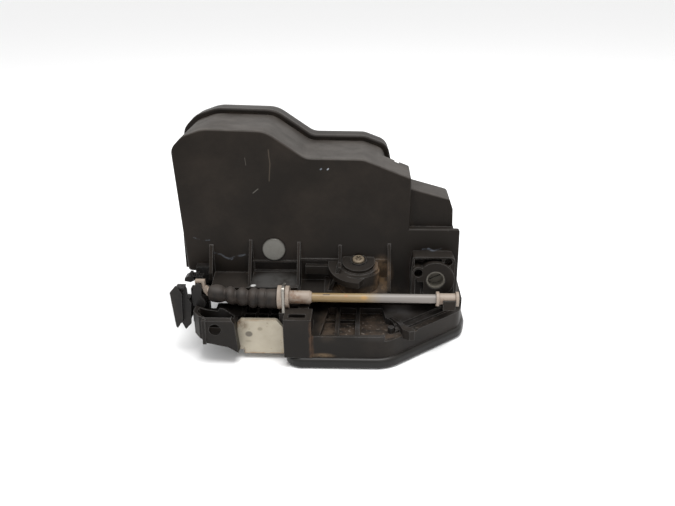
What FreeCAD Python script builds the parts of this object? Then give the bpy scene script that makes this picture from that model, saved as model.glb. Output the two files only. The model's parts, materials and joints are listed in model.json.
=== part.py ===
import FreeCAD, Part
import math
import os

V = FreeCAD.Vector

# Car door lock with its actuator, standing on its latch face. Units are mm.
# X runs along the cable, Y from the cable side to the back, Z up from the mounting face.

# Housing
FACE_Y = -14.0
SHELL_Y = 27.0
BACK_Y = 43.0
SHALLOW_Y = 11.0
WALL = 2.2
SHELL_OVER = 2.3
HOUSING_BOTTOM = 16.0

# Latch plate, its seal and its frame
PLATE_T = 3.0
SEAL_DROP = 3.0
SEAL_OUT = 2.9
SEAL_IN = 1.6
FRAME_OUT = 1.0
SHELF_Z = 15.4
POCKET_Z = 11.8
CEILING_Z = 9.7

# Fork and pawl
FORK_X = -6.0
FORK_Y = 9.0
FORK_PIN_R = 4.0
FORK_R = 29.0
FORK_LOW_R = 25.5
FORK_HUB_R = 19.0
FORK_T = 5.0
FORK_Z = 3.4
MOUTH_X = 10.9
MOUTH_Y = 17.6
MOUTH_HALF = 5.25
MOUTH_DIR = 80.0
SLOT_HALF = 7.5
PAWL_X = 24.7
PAWL_Y = -24.4
PAWL_PIN_R = 3.5
RUN = 0.06

# Cable line
CABLE_Y = -34.0
CABLE_Z = 29.5
CONDUIT_R = 2.4
LEVER_X = -83.0
LEVER_Z = 26.0
LEVER_ARM = 10.0
LEVER_PEG_X = 2.4
LEVER_PEG_Z = 5.6
SHAFT_R = 1.9

# Key coupling and screw boss
KEY_X = 43.2
KEY_Z = 36.6
KEY_R = 5.07
BOSS = (1.6, -17.5, 44.9)
BOSS_LEAN = 15.0

# Gear drives
WORM_MODULE = 1.25
MOTOR_SHAFT_R = 1.0
WHEEL_TEETH = 28
PINION_TEETH = 14
SECTOR_TEETH = 42

os.makedirs("parts", exist_ok=True)


def box(x0, x1, y0, y1, z0, z1):
    """Block between two corners."""
    return Part.makeBox(x1 - x0, y1 - y0, z1 - z0, V(x0, y0, z0))


def cyl(x, y, z, r, h, axis):
    """Cylinder that starts at a point and runs along an axis."""
    way = {"X": V(1, 0, 0), "Y": V(0, 1, 0), "Z": V(0, 0, 1)}[axis]
    return Part.makeCylinder(r, h, V(x, y, z), way)


def cone(x, y, z, r0, r1, h, axis):
    """Cone that starts at a point and runs along an axis."""
    way = {"X": V(1, 0, 0), "Y": V(0, 1, 0), "Z": V(0, 0, 1)}[axis]
    return Part.makeCone(r0, r1, h, V(x, y, z), way)


def lift(p, plane, level):
    """Point of a flat outline, placed in a plane at a level."""
    if plane == "XY":
        return V(p[0], p[1], level)
    if plane == "XZ":
        return V(p[0], level, p[1])
    return V(level, p[0], p[1])


def outline(points, plane, level):
    """Closed wire through the points, each with an optional corner radius."""
    count = len(points)
    edges = []
    ends = []
    for i in range(count):
        p = V(points[i][0], points[i][1], 0)
        r = points[i][2] if len(points[i]) > 2 else 0.0
        a = V(points[i - 1][0], points[i - 1][1], 0)
        b = V(points[(i + 1) % count][0], points[(i + 1) % count][1], 0)
        if r <= 0:
            ends.append((p, None, p))
            continue
        da = (a - p).normalize()
        db = (b - p).normalize()
        half = math.acos(max(-1.0, min(1.0, da.dot(db)))) / 2.0
        cut = r / math.tan(half)
        p1 = p + da * cut
        p2 = p + db * cut
        mid_way = (da + db).normalize()
        centre = p + mid_way * (r / math.sin(half))
        mid = centre - mid_way * r
        ends.append((p1, mid, p2))
    for i in range(count):
        p1, mid, p2 = ends[i]
        if mid is not None:
            edges.append(Part.Arc(lift(p1, plane, level), lift(mid, plane, level),
                                  lift(p2, plane, level)).toShape())
        q = ends[(i + 1) % count][0]
        if (q - p2).Length > 1e-6:
            edges.append(Part.LineSegment(lift(p2, plane, level), lift(q, plane, level)).toShape())
    return Part.Wire(edges)


def prism(points, plane, low, high, grow=0.0):
    """Solid from a flat outline between two levels, grown or shrunk by an offset."""
    face = Part.Face(outline(points, plane, low))
    if grow:
        face = face.makeOffset2D(grow)
        if face.ShapeType != "Face":
            face = face.Faces[0]
    way = {"XY": V(0, 0, 1), "XZ": V(0, 1, 0), "YZ": V(1, 0, 0)}[plane]
    return face.extrude(way * (high - low))


def join(shapes):
    """One solid from overlapping shapes."""
    first = shapes[0]
    return first.fuse(shapes[1:]).removeSplitter() if len(shapes) > 1 else first


def cut(shape, tools):
    """Shape less the tools."""
    return shape.cut(Part.makeCompound(tools) if len(tools) > 1 else tools[0])


def round_edges(shape, radius, test):
    """Fillet of the edges that pass the test."""
    edges = [e for e in shape.Edges if test(e)]
    return shape.makeFillet(radius, edges)


def flat_at(e, axis, level):
    """True when an edge lies in the plane at a level."""
    box_e = e.BoundBox
    low = {"X": box_e.XMin, "Y": box_e.YMin, "Z": box_e.ZMin}[axis]
    high = {"X": box_e.XMax, "Y": box_e.YMax, "Z": box_e.ZMax}[axis]
    return abs(low - level) < 1e-4 and abs(high - level) < 1e-4


def turned(shape, point, axis, degrees):
    """Copy turned about an axis through a point."""
    copy = shape.copy()
    copy.rotate(V(*point), V(*axis), degrees)
    return copy


def moved(shape, x, y, z):
    """Copy moved by a step."""
    copy = shape.copy()
    copy.translate(V(x, y, z))
    return copy


def single(shape):
    """Largest solid of a shape."""
    return max(shape.Solids, key=lambda s: s.Volume)


def gear_points(module, teeth, head, foot, thin, phase):
    """Involute tooth outline as flat points about the origin."""
    r = module * teeth / 2.0
    base = r * math.cos(math.radians(20.0))
    top = r + head * module
    root = r - foot * module
    pitch_t = math.sqrt((r / base) ** 2 - 1.0)
    half = math.pi / (2.0 * teeth) - thin / (2.0 * r) + (pitch_t - math.atan(pitch_t))
    points = []
    for i in range(teeth):
        mid = 2.0 * math.pi * i / teeth + phase
        flank = []
        low = max(root, base)
        for k in range(5):
            rr = low + (top - low) * k / 4.0
            t = math.sqrt(max((rr / base) ** 2 - 1.0, 0.0))
            flank.append((rr, half - (t - math.atan(t))))
        points.append((root, mid - flank[0][1] - 0.01))
        for rr, a in flank:
            points.append((rr, mid - a))
        for rr, a in reversed(flank):
            points.append((rr, mid + a))
        points.append((root, mid + flank[0][1] + 0.01))
    return [(rr * math.cos(a), rr * math.sin(a)) for rr, a in points]


def gear(cx, cz, y0, y1, module, teeth, head, foot, thin, phase):
    """Spur gear with its axis along Y."""
    points = [(cx + p[0], cz + p[1]) for p in gear_points(module, teeth, head, foot, thin, phase)]
    return prism(points, "XZ", y0, y1)


def worm(x0, length, y, z, core, outer, lead, thick, start):
    """Worm with its axis along X and one right-hand thread."""
    turns = length / lead
    helix = Part.makeHelix(lead, length, core)
    wide = thick * 0.75
    tip = thick * 0.35
    profile = Part.makePolygon([V(core - 0.3, 0, -wide), V(outer, 0, -tip), V(outer, 0, tip),
                                V(core - 0.3, 0, wide), V(core - 0.3, 0, -wide)])
    thread = Part.Wire(helix.Edges).makePipeShell([profile], True, True)
    body = Part.makeCylinder(core, length + 3.0, V(0, 0, -1.5))
    shape = body.fuse(thread)
    shape.rotate(V(0, 0, 0), V(0, 0, 1), start)
    shape.rotate(V(0, 0, 0), V(0, 1, 0), 90)
    shape.translate(V(x0, y, z))
    return single(shape)


def coil(cx, cy, z0, r, wire, turns, pitch):
    """Coil of round wire about a vertical axis."""
    helix = Part.makeHelix(pitch, pitch * turns, r)
    ring = Part.Wire(Part.makeCircle(wire / 2.0, V(r, 0, 0), V(0, 1, 0)))
    shape = Part.Wire(helix.Edges).makePipeShell([ring], True, True)
    shape.translate(V(cx, cy, z0))
    return shape


# Flat outlines, as (X, Z) or (X, Y) with corner radii
COVER_FULL = [(-88.6, HOUSING_BOTTOM, 2), (-88.6, 35.0, 1), (-93.6, 35.6, 1.5), (-97.6, 105.0, 7), (-91.0, 111.8, 10), (-80.0, 115.6, 18),
              (-47.5, 114.6, 14), (-26.5, 100.2, 12), (3.6, 99.8, 10), (29.2, 89.6, 1.5),
              (29.2, 61.2), (53.0, 61.2), (53.0, 47.0, 1), (56.3, 44.0, 1), (56.3, HOUSING_BOTTOM, 1)]
COVER_DEEP = [(-88.6, HOUSING_BOTTOM, 2), (-88.6, 35.0, 1), (-93.6, 35.6, 1.5), (-97.6, 105.0, 7), (-91.0, 111.8, 10), (-80.0, 115.6, 18),
              (-47.5, 114.6, 14), (-26.5, 100.2, 12), (3.6, 99.8, 8), (15.0, 95.4, 6),
              (17.4, 84.0, 6), (17.4, HOUSING_BOTTOM, 2)]
COVER_POSTS = [(-88.0, 45.0), (11.0, 34.0), (-89.0, 97.0), (5.0, 90.0)]
SEAL_LINE = [(-33.5, -50.5, 6), (17.0, -50.3, 16), (57.6, -14.4, 9), (60.0, -4.0, 12),
             (60.0, 40.5, 9), (-33.5, 40.5, 9)]


def boss_at(shape):
    """Shape built about the boss's own axis, leaned and set in place."""
    return moved(turned(shape, (0, 0, 0), (1, 0, 0), BOSS_LEAN), *BOSS)


def front_cover():
    """Front half of the housing, with ribs, key bearing and screw boss."""
    lip = prism([(50.0, 42.0), (50.0, 61.2), (56.2, 61.2, 1.5), (56.3, 42.0)], "XZ", FACE_Y, FACE_Y + 2.4)
    lip = round_edges(lip, 1.0, lambda e: flat_at(e, "Y", FACE_Y) and e.BoundBox.XMin > 54.0
                      and e.BoundBox.ZMax - e.BoundBox.ZMin > 4.0)
    outer = join([prism(COVER_FULL, "XZ", FACE_Y, SHALLOW_Y),
                  prism(COVER_DEEP, "XZ", FACE_Y, SHELL_Y)])
    outer = round_edges(outer, 1.3, lambda e: flat_at(e, "Y", FACE_Y) and e.BoundBox.ZMax > 17.5)
    # connector block beside the top of the cover, set back from the face
    side = prism([(27.0, 83.2), (50.4, 76.6, 2.5), (52.4, 71.0, 2), (52.8, 60.0), (27.0, 60.0)],
                 "XZ", -9.0, 10.6)
    side = round_edges(side, 1.0, lambda e: flat_at(e, "Y", -9.0) and e.BoundBox.ZMax > 62)
    inner_deep = prism(COVER_DEEP, "XZ", FACE_Y + WALL, SHELL_Y + 1.0, -WALL)
    inner_full = prism(COVER_FULL, "XZ", FACE_Y + WALL, SHALLOW_Y - WALL, -WALL)
    shape = join([outer, side, lip])
    shape = cut(shape, [inner_deep, inner_full])
    # socket for the plug, open to the right
    socket = box(31.0, 60.0, -6.8, 8.6, 63.2, 73.4)
    shape = cut(shape, [socket] + plug_pins())
    # posts that take the screws from the back
    posts = [cyl(x, FACE_Y + 1.0, z, 3.6, BACK_Y - WALL - FACE_Y - 1.0, "Y") for x, z in COVER_POSTS]
    shape = join([shape] + posts)
    shape = cut(shape, [cyl(x, 29.0, z, 1.5, 20.0, "Y") for x, z in COVER_POSTS])
    adds = []
    # ribs that come forward as they run down to the shelves
    for x, top, reach, low, thick in [(-79.6, 52.0, 7.0, 33.0, 1.0), (-57.6, 55.0, 13.2, 27.0, 0.8),
                                      (-31.1, 54.0, 13.2, 26.0, 0.8), (-8.6, 52.5, 4.5, 38.0, 0.8),
                                      (18.3, 53.5, 12.5, 26.0, 0.8)]:
        adds.append(prism([(FACE_Y + 1.0, top), (FACE_Y - 0.6, top - 1.0), (FACE_Y - reach, low + 4.0),
                           (FACE_Y - reach, low), (FACE_Y + 1.0, low - 2.0)], "YZ", x - thick, x + thick))
    # shelves between the ribs, each sloping down to the cable
    for x0, x1, top, front in [(-78.6, -57.6, 34.9, 31.6), (-57.6, -31.1, 35.4, 32.0),
                               (-31.1, -15.0, 30.9, 27.6), (-17.0, 18.3, 32.6, 28.6)]:
        adds.append(prism([(FACE_Y + 1.0, top), (FACE_Y, top), (FACE_Y - 13.4, front),
                           (FACE_Y - 13.4, front - 1.8), (FACE_Y + 1.0, 24.0)], "YZ", x0, x1))
    # ledges above the shelves and the raised panel of the third bay
    adds.append(box(-57.6, -31.1, FACE_Y - 1.0, FACE_Y + 1.0, 41.4, 42.4))
    adds.append(box(-31.1, 18.3, FACE_Y - 0.7, FACE_Y + 1.0, 42.5, 43.7))
    adds.append(box(-27.6, -11.4, FACE_Y - 3.0, FACE_Y + 1.0, 35.5, 40.3))
    adds.append(prism([(-9.4, 43.0), (-7.8, 43.0), (-14.2, 26.0), (-16.2, 26.0)], "XZ", -25.0,
                      FACE_Y + 1.0))
    # screw boss: leaning steps, the widest one cut off at the right
    wide = cyl(0.0, 0.0, -6.9, 16.6, 3.7, "Z")
    wide = cut(wide, [prism([(0.6, -20.0), (0.6, -15.7), (10.6, -4.0), (10.6, 6.0), (20.0, 6.0),
                             (20.0, -20.0)], "XY", -10.0, 2.0)])
    steps = join([wide, cyl(0.0, 0.0, -3.6, 10.2, 0.7, "Z"), cyl(0.0, 0.0, -3.2, 9.0, 2.2, "Z"),
                  cyl(0.0, 0.0, -1.4, 4.5, 1.2, "Z")])
    front_room = box(-30.0, 30.0, -60.0, FACE_Y + 1.0, 20.0, 60.0)
    adds.append(boss_at(steps).common(front_room))
    adds.append(cyl(BOSS[0], BOSS[1], 26.0, 11.6, 13.0, "Z").common(front_room))
    # bearing block of the key coupling
    adds.append(prism([(30.0, 24.0, 2), (30.0, 41.0, 2), (30.9, 48.8, 1), (53.6, 48.8, 3),
                       (53.6, 24.0, 2)], "XZ", -23.0, FACE_Y + 1.0))
    adds.append(cyl(KEY_X, -26.0, KEY_Z, 10.0, 13.0, "Y"))
    adds.append(box(KEY_X - 10.0, KEY_X + 10.0, -25.4, FACE_Y + 1.0, 26.0, KEY_Z))
    adds.append(cyl(33.8, -26.0, 40.7, 3.4, 12.0, "Y"))
    adds.append(box(30.4, 32.2, -26.0, FACE_Y + 1.0, 25.0, 40.7))
    # cradle that takes the right end of the cable
    adds.append(box(46.5, 53.0, -38.2, FACE_Y + 1.0, 24.8, 27.6))
    adds.append(box(46.5, 53.0, -38.2, -29.8, 24.8, 30.0))
    shape = join([shape] + adds)
    recess = box(31.8, 46.4, -24.0, -17.4, 43.6, 47.7).cut(cyl(KEY_X, -27.0, KEY_Z, 10.0, 14.0, "Y"))
    recess = recess.cut(cyl(33.8, -27.0, 40.7, 3.4, 14.0, "Y"))
    cuts = [cyl(KEY_X, -27.0, KEY_Z, KEY_R, 9.4, "Y"),
            cyl(KEY_X, -20.0, KEY_Z, SHAFT_R + RUN, 10.0, "Y"),
            cyl(33.8, -27.0, 40.7, 2.3, 7.0, "Y"),
            recess, cyl(49.9, -24.0, 46.0, 2.2, 5.0, "Y"),
            box(32.6, KEY_X - 6.6, -26.5, -19.0, 24.0, KEY_Z - 1.0),
            box(36.0, 50.0, -27.0, -18.5, 22.0, 28.4),
            cyl(48.6, FACE_Y - 1.0, 20.7, 2.2, 2.3, "Y"),
            box(-56.2, -32.4, FACE_Y - 0.5, FACE_Y + 1.0, 36.2, 40.9),
            boss_at(cyl(0.0, 0.0, -11.4, 2.0, 14.0, "Z")),
            boss_at(cyl(0.0, 0.0, -1.2, 3.9, 3.0, "Z")),
            cyl(FORK_X, FORK_Y, 14.0, FORK_PIN_R + 0.1, 5.0, "Z"),
            box(-20.0, 24.0, FACE_Y + WALL, 6.0, 18.2, 44.0),
            cyl(40.0, CABLE_Y, CABLE_Z, CONDUIT_R + 0.62, 16.0, "X")]
    # bores for the release shaft and slots of the release slide
    cuts.append(cyl(LEVER_X, FACE_Y - 5, LEVER_Z, SHAFT_R + RUN, 12.0, "Y"))
    cuts.append(box(27.2, 37.6, -9.4, -2.6, 14.0, 19.0))
    # rivet hole
    cuts.append(cyl(-45.0, FACE_Y - 1, 49.0, 3.0, 5.0, "Y"))
    # air slots in the deep shell's rear edge
    cuts.append(box(21.0, 23.5, 8.0, 12.0, 88.0, 96.0))
    shape = cut(shape, cuts)
    return single(shape)


def rear_housing():
    """Rear half of the housing, a size larger, with a rounded rim."""
    deep = list(COVER_DEEP)
    outer = prism(deep, "XZ", SHELL_Y, BACK_Y, SHELL_OVER)
    rim = prism(deep, "XZ", SHELL_Y, SHELL_Y + 3.0, SHELL_OVER + 0.6)
    shape = join([outer, rim])
    shape = round_edges(shape, 1.3, lambda e: flat_at(e, "Y", SHELL_Y))
    shape = round_edges(shape, 2.0, lambda e: flat_at(e, "Y", BACK_Y))
    inner = prism(deep, "XZ", SHELL_Y - 1.0, BACK_Y - WALL, -0.1).cut(
        box(-120.0, 60.0, 0.0, 60.0, 0.0, HOUSING_BOTTOM + WALL))
    shape = cut(shape, [inner, box(-120.0, 60.0, 0.0, 60.0, 0.0, SHELF_Z + 0.2)])
    # raised panel and ribs on the back, mounting ear at the lower left
    adds = [box(-107.5, -88.0, 33.0, 41.0, 17.0, 39.0),
            cyl(-62.0, BACK_Y - 3.0, 37.0, 6.0, 4.5, "Y"),
            prism([(-84.0, 70.0, 4), (-30.0, 70.0, 4), (-30.0, 104.0, 4), (-84.0, 104.0, 4)],
                  "XZ", BACK_Y - 1.0, BACK_Y + 1.2)]
    for x in (-20.0, -8.0, 4.0):
        adds.append(box(x, x + 1.6, BACK_Y - 1.0, BACK_Y + 1.4, 30.0, 80.0))
    shape = join([shape] + adds)
    cuts = [cyl(-62.0, BACK_Y - 6.0, 37.0, 3.06, 9.0, "Y"),
            cyl(-102.0, 32.0, 28.0, 2.6, 10.0, "Y")]
    for x, z in COVER_POSTS:
        cuts.append(cyl(x, BACK_Y - 8.0, z, 1.7, 9.0, "Y"))
    shape = cut(shape, cuts)
    return single(shape)


def corner_room():
    """Corner of the frame that the side bracket fills."""
    return box(-40.0, -22.3, -60.0, -33.0, -1.0, 40.0)


def latch_frame():
    """Moulded frame over the latch: shelf with ribs and pockets."""
    shape = prism(SEAL_LINE, "XY", PLATE_T, SHELF_Z, FRAME_OUT)
    front = box(16.0, 80.0, -60.0, -6.0, 0.0, 40.0)
    ring = prism(SEAL_LINE, "XY", 12.6, 17.0, FRAME_OUT + 0.5).cut(
        prism(SEAL_LINE, "XY", 12.0, 18.0, -3.2))
    ring2 = prism(SEAL_LINE, "XY", 14.0, 17.0, FRAME_OUT + 0.5).cut(
        prism(SEAL_LINE, "XY", 13.0, 18.0, -6.4))
    shape = cut(shape, [ring.common(front), ring2.common(front), corner_room()])
    cuts = []
    # pockets of the shelf
    for pts in [[(-18.0, -49.4), (-10.3, -49.4), (-10.3, -18.0), (-14.8, -18.0)],
                [(-8.3, -49.4), (0.4, -49.4), (0.4, -18.0), (-8.3, -18.0)],
                [(2.6, -49.2), (14.5, -48.6), (20.6, -45.8), (22.0, -40.0), (20.0, -33.0), (16.6, -29.0),
                 (15.0, -18.0), (2.6, -18.0)],
                [(27.0, -40.6), (29.6, -42.6), (35.6, -38.4), (32.6, -35.6), (28.4, -35.6)]]:
        cuts.append(prism(pts, "XY", POCKET_Z, 18.0))
    # fork and pawl hollow, striker slot, pin holes
    cuts.append(cyl(FORK_X, FORK_Y, PLATE_T - 1, FORK_R + 1.0, CEILING_Z - PLATE_T + 1, "Z"))
    cuts.append(cyl(FORK_X, FORK_Y, PLATE_T - 1, 10.5, 10.8, "Z"))
    cuts.append(prism([(-15.5, -17.0), (-15.5, -36.6), (24.0, -37.0), (33.5, -31.0), (36.4, -22.0),
                       (39.6, 0.4), (25.2, 0.4), (18.4, -13.6), (10.0, -12.0)],
                      "XY", PLATE_T - 1, CEILING_Z))
    cuts.append(box(MOUTH_X - SLOT_HALF, MOUTH_X + SLOT_HALF, -5.0, 46.0, 2.0, 13.2))
    cuts.append(cyl(FORK_X, FORK_Y, 0.0, FORK_PIN_R, 20.0, "Z"))
    cuts.append(cyl(PAWL_X, PAWL_Y, 0.0, PAWL_PIN_R, 13.4, "Z"))
    cuts.append(cyl(PAWL_X, PAWL_Y, 5.0, 7.4, 7.4, "Z"))
    cuts.append(box(27.2, 37.6, -9.4, -2.6, 8.0, 17.0))
    for x, y in [(-27.0, -38.0), (47.0, -10.0), (47.0, 30.0)]:
        cuts.append(cyl(x, y, 2.0, 5.3, 5.4, "Z"))
    # seats of the switch by the fork and of the buffer in the slot
    cuts.append(box(-33.0, -27.0, -31.7, -17.6, 3.0, 9.4))
    cuts.append(box(6.4, 15.4, -10.2, -4.0, 3.0, 13.2))
    shape = cut(shape, cuts)
    # low ribs in the pockets, the curved web and the stud beside it
    adds = [box(-17.4, -9.8, -29.6, -28.0, POCKET_Z - 0.5, 13.6),
            box(-8.8, 1.0, -29.6, -28.0, POCKET_Z - 0.5, 13.6),
            prism([(20.1, -29.3), (24.3, -34.4), (26.6, -39.6), (31.2, -44.0), (31.6, -46.4),
                   (28.8, -47.2), (25.2, -44.4), (23.2, -37.6), (19.0, -31.0)], "XY",
                  POCKET_Z - 0.5, SHELF_Z + 1.2),
            cyl(19.4, -39.4, POCKET_Z - 0.5, 1.7, 4.0, "Z")]
    shape = join([shape] + adds)
    return single(shape)


def side_bracket():
    """Moulded bracket at the left: column, ribbed floor, box and lever lug."""
    corner = prism(SEAL_LINE, "XY", PLATE_T, SHELF_Z, FRAME_OUT).common(corner_room())
    adds = [corner]
    # column with the cable bracket
    adds.append(box(-36.8, -22.3, -52.2, -39.0, PLATE_T, 25.2))
    adds.append(box(-40.2, -29.4, -40.4, -25.0, PLATE_T, 23.0))
    adds.append(box(-30.0, -24.6, -39.6, -28.0, 10.0, 24.6))
    # floor behind the plate's flange
    adds.append(box(-62.6, -33.0, -40.4, -14.3, PLATE_T, 16.0))
    adds.append(box(-78.0, -60.0, -36.6, -14.3, 8.0, 15.6))
    # left box: front with a bevel, body with the rim stepping down to the right
    front = prism([(-79.0, 9.6), (-79.2, 24.1), (-64.8, 24.1), (-62.6, 21.0), (-61.3, 4.0),
                   (-66.5, 7.4), (-77.9, 9.8)], "XZ", -50.0, -46.0)
    bevel = prism([(-50.6, 21.9), (-48.5, 24.2), (-50.6, 24.8)], "YZ", -95.0, -55.0)
    body = prism([(-85.0, 12.4), (-85.2, 25.2), (-79.4, 23.4), (-73.3, 22.6), (-72.1, 24.4),
                  (-69.8, 23.8), (-65.5, 20.6), (-62.9, 18.6), (-61.3, 4.0), (-66.5, 7.4),
                  (-78.6, 9.4)], "XZ", -47.0, -37.0)
    left = join([cut(front, [bevel]), body])
    left = cut(left, [prism([(-95.0, -55.0), (-79.0, -55.0), (-79.0, -50.0), (-85.2, -43.5),
                             (-95.0, -43.5)], "XY", 0.0, 30.0),
                      box(-62.8, -58.0, -43.3, -35.0, 0.0, 30.0)])
    adds.append(left)
    adds.append(box(-68.0, -60.0, -40.3, -30.0, 8.0, 16.0))
    adds.append(box(-79.6, -77.8, -51.2, -48.6, 9.6, 23.6))
    # lug of the outside release lever
    adds.append(box(-89.0, -79.6, -30.0, -25.6, 12.0, 32.0))
    adds.append(box(-86.0, -70.0, -38.0, -25.6, 12.0, 18.0))
    shape = join(adds)
    keep_out = prism(SEAL_LINE, "XY", 0.0, SHELF_Z, FRAME_OUT).cut(corner_room())
    cuts = [keep_out]
    # column slot, hole and mouth of the left box
    cuts.append(box(-34.4, -25.6, -49.4, -45.4, 17.0, 27.0))
    cuts.append(prism([(-83.2, -38.2), (-83.2, -42.4), (-78.0, -48.4), (-64.6, -48.4),
                       (-64.6, -38.2)], "XY", 12.6, 26.0))
    cuts.append(cyl(-73.0, -51.0, 17.7, 3.2, 5.0, "Y"))
    # pockets of the floor
    for x0, x1 in [(-60.4, -54.6), (-53.2, -47.6), (-46.2, -41.8)]:
        cuts.append(box(x0, x1, -38.2, -28.0, 6.0, 18.0))
        cuts.append(box(x0, x1, -26.6, -16.6, 6.0, 18.0))
    # seat of the cable bracket plate
    cuts.append(box(-38.5, -37.1, -40.2, -27.6, 16.0, 27.0))
    # bore of the lever, screw collar and room for the plate's flange
    cuts.append(cyl(LEVER_X, -33.0, LEVER_Z, SHAFT_R + RUN, 9.0, "Y"))
    cuts.append(cyl(-27.0, -38.0, 2.0, 5.3, 5.4, "Z"))
    cuts.append(box(-62.8, -37.6, -43.3, -40.4, 0.0, 22.0))
    shape = cut(shape, cuts)
    return single(shape)


def perimeter_seal():
    """Rubber lip around the latch face."""
    outer = prism(SEAL_LINE, "XY", -SEAL_DROP, PLATE_T, SEAL_OUT)
    outer = round_edges(outer, 2.4, lambda e: flat_at(e, "Z", PLATE_T))
    outer = round_edges(outer, 2.0, lambda e: flat_at(e, "Z", -SEAL_DROP))
    inner = prism(SEAL_LINE, "XY", -SEAL_DROP - 1, PLATE_T + 1, -SEAL_IN)
    shape = outer.cut(inner)
    shape = cut(shape, [box(-70.0, -30.0, -43.2, -18.0, 0.6, 4.0),
                        box(MOUTH_X - SLOT_HALF, MOUTH_X + SLOT_HALF, 30.0, 50.0, -6.0, 6.0)])
    return single(shape)


def latch_plate():
    """Steel face plate with a bent flange, striker slot and screw collars."""
    shape = prism(SEAL_LINE, "XY", 0.0, PLATE_T, -SEAL_IN)
    wing = box(-62.5, -30.0, -43.0, -18.2, 0.6, PLATE_T)
    flange = prism([(-62.5, 0.0), (-62.5, 18.0), (-60.4, 20.2), (-41.4, 20.2, 2.4), (-38.1, 16.0),
                    (-37.9, 0.0)], "XZ", -43.0, -40.5)
    shape = join([shape, wing, flange])
    collars = [cyl(x, y, PLATE_T - 0.5, 5.0, 4.5, "Z")
               for x, y in [(-27.0, -38.0), (47.0, -10.0), (47.0, 30.0)]]
    shape = join([shape] + collars)
    slot = [box(MOUTH_X - SLOT_HALF, MOUTH_X + SLOT_HALF, 0.4, 46.0, -1.0, 4.0),
            cyl(MOUTH_X, 0.4, -1.0, SLOT_HALF, 6.0, "Z")]
    holes = [cyl(x, y, -1.0, 2.5, 10.0, "Z")
             for x, y in [(-27.0, -38.0), (47.0, -10.0), (47.0, 30.0)]]
    pins = [cyl(FORK_X, FORK_Y, -1.0, FORK_PIN_R, 5.0, "Z"),
            cyl(PAWL_X, PAWL_Y, -1.0, PAWL_PIN_R, 5.0, "Z"),
            cyl(FORK_X, FORK_Y, -1.0, FORK_PIN_R + 1.6, 2.2, "Z"),
            cyl(PAWL_X, PAWL_Y, -1.0, PAWL_PIN_R + 1.6, 2.2, "Z"),
            cyl(-61.0, -41.8, -1.0, 2.0, 5.0, "Z")]
    shape = cut(shape, slot + holes + pins)
    return single(shape)


def back_plate():
    """Steel plate inside the housing that ties the fork pin and the frame."""
    pts = [(-22.0, -2.2, 4), (14.0, -2.2, 4), (14.0, 24.0, 4), (-22.0, 24.0, 4)]
    shape = prism(pts, "XY", 18.2, 20.2)
    shape = cut(shape, [cyl(FORK_X, FORK_Y, 10.0, FORK_PIN_R, 20.0, "Z")])
    return single(shape)


def fork_at(degrees):
    """Fork outline in its open position, turned by an angle."""
    def radius(a):
        """Edge radius at an angle in degrees."""
        steps = [(-88.0, FORK_LOW_R), (-82.0, FORK_R), (-76.0, FORK_R), (-75.9, FORK_LOW_R),
                 (-68.0, FORK_LOW_R), (-61.0, FORK_R), (-50.0, FORK_R), (-49.9, FORK_LOW_R),
                 (-34.0, FORK_LOW_R), (-30.0, FORK_R), (112.0, FORK_R), (118.0, FORK_HUB_R),
                 (250.0, FORK_HUB_R), (258.0, FORK_LOW_R), (272.0, FORK_LOW_R)]
        for (a0, r0), (a1, r1) in zip(steps, steps[1:]):
            if a0 <= a <= a1:
                return r0 + (r1 - r0) * (a - a0) / (a1 - a0)
        return FORK_LOW_R
    angles = [-88.0 + 3.0 * i for i in range(120)] + [-76.0, -75.9, -50.0, -49.9, -82.0, -61.0,
                                                     -34.0, -30.0, 112.0, 118.0, 250.0]
    angles = sorted(set(a for a in angles if a < 271.9))
    return [(FORK_X + radius(a) * math.cos(math.radians(a)),
             FORK_Y + radius(a) * math.sin(math.radians(a))) for a in angles]


def mouth_tool(half, z0, z1):
    """Cutter for the fork's mouth."""
    slot = Part.makeBox(30.0, 2.0 * half, z1 - z0, V(MOUTH_X, MOUTH_Y - half, z0))
    slot = turned(slot, (MOUTH_X, MOUTH_Y, 0), (0, 0, 1), MOUTH_DIR)
    return join([slot, cyl(MOUTH_X, MOUTH_Y, z0, half, z1 - z0, "Z")])


def fork():
    """Steel catch that turns round the striker."""
    shape = prism(fork_at(0.0), "XY", FORK_Z, FORK_Z + FORK_T)
    shape = cut(shape, [mouth_tool(MOUTH_HALF + 1.2, FORK_Z - 1, FORK_Z + FORK_T + 1),
                        cyl(FORK_X, FORK_Y, 0.0, FORK_PIN_R + RUN, 20.0, "Z"),
                        cyl(FORK_X - 12.0, FORK_Y + 4.0, 0.0, 2.0, 20.0, "Z")])
    return single(shape)


def fork_lining():
    """Moulded lining of the fork's mouth, with the spring peg."""
    outer = mouth_tool(MOUTH_HALF + 1.2, FORK_Z, FORK_Z + FORK_T)
    inner = mouth_tool(MOUTH_HALF, FORK_Z - 1, FORK_Z + FORK_T + 1)
    rim = cyl(FORK_X, FORK_Y, FORK_Z - 1, FORK_R - 0.3, FORK_T + 3, "Z")
    shape = outer.cut(inner).common(rim)
    return single(shape)


def fork_peg():
    """Peg on the fork that its spring pushes."""
    return join([cyl(FORK_X - 12.0, FORK_Y + 4.0, FORK_Z, 2.0, FORK_T, "Z"),
                 cyl(FORK_X - 12.0, FORK_Y + 4.0, FORK_Z + FORK_T, 1.6, 0.9, "Z")])


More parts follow.
